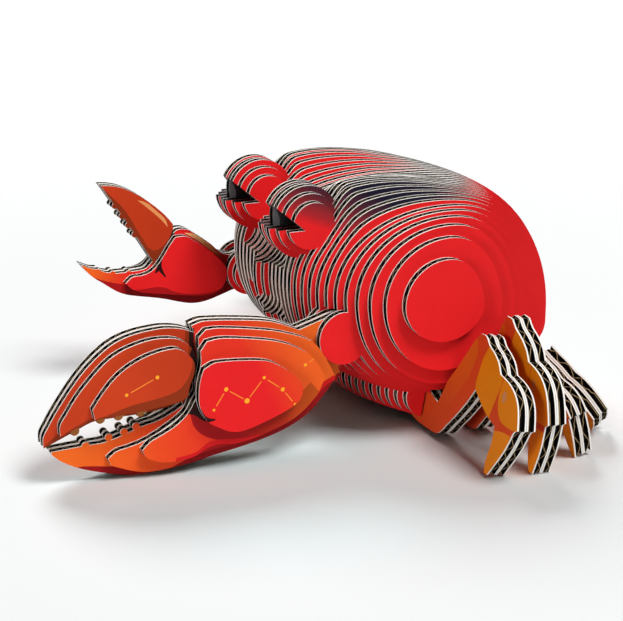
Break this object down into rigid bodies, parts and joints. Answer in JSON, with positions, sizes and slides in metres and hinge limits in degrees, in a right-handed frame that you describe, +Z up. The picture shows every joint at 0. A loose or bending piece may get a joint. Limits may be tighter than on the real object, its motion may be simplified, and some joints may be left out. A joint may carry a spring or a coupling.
{
  "type": "cardboard crab model",
  "caption": "Desk model of a crab built up from glued corrugated board slices, with one large lowered claw, one small raised open claw and bent side legs.",
  "frame": {"origin": "middle of the bounding box, on the surface the feet stand on", "axes": "+Z up, face towards -Y, the crab's left side (large claw) towards +X; the boards of body and claws stand in planes of constant X"},
  "size_m": [0.0996, 0.0926, 0.0395],
  "materials": {
    "red_board": "printed red, satin",
    "orange_board": "printed orange to red, satin",
    "rust_board": "printed rust, satin",
    "ochre_board": "printed ochre ovals on red-orange, satin"
  },
  "bodies": {
    "root": {"body_slice_01": "red_board", "body_slice_02": "red_board", "body_slice_03": "red_board", "body_slice_04": "red_board", "body_slice_05": "red_board", "body_slice_06": "red_board", "body_slice_07": "red_board", "body_slice_08": "red_board", "body_slice_09": "red_board", "body_slice_10": "red_board", "body_slice_11": "red_board", "body_slice_12": "red_board", "body_slice_13": "red_board", "body_slice_14": "red_board", "body_slice_15": "red_board", "body_slice_16": "red_board", "body_slice_17": "red_board", "body_slice_18": "red_board", "body_slice_19": "red_board", "body_slice_20": "red_board", "body_slice_21": "red_board", "body_slice_22": "red_board", "body_slice_23": "red_board", "body_slice_24": "red_board", "body_slice_25": "red_board", "body_slice_26": "red_board", "body_slice_27": "red_board", "body_slice_28": "red_board", "body_slice_29": "red_board", "body_slice_30": "red_board", "body_slice_31": "red_board", "body_slice_32": "red_board", "body_slice_33": "red_board", "body_slice_34": "red_board", "body_slice_35": "red_board", "body_slice_36": "red_board", "body_slice_37": "red_board", "small_claw_palm_near": "red_board", "small_claw_palm_far": "red_board", "leg_left_1": "ochre_board", "leg_right_1": "ochre_board", "leg_left_2": "ochre_board", "leg_right_2": "ochre_board", "leg_left_3": "ochre_board", "leg_right_3": "ochre_board", "leg_left_4": "ochre_board", "leg_right_4": "ochre_board", "big_claw_board_near": "orange_board", "big_claw_board_far": "orange_board", "big_claw_palm_layer_1_near": "orange_board", "big_claw_palm_layer_1_far": "orange_board", "big_claw_palm_layer_2_near": "orange_board", "big_claw_palm_layer_2_far": "orange_board", "big_claw_palm_layer_3_near": "orange_board", "big_claw_palm_layer_3_far": "orange_board", "big_claw_dactyl_layer_1_near": "rust_board", "big_claw_dactyl_layer_1_far": "rust_board", "big_claw_dactyl_layer_2_near": "rust_board", "big_claw_dactyl_layer_2_far": "rust_board", "small_claw_boards": "rust_board"}
  },
  "joints": []
}
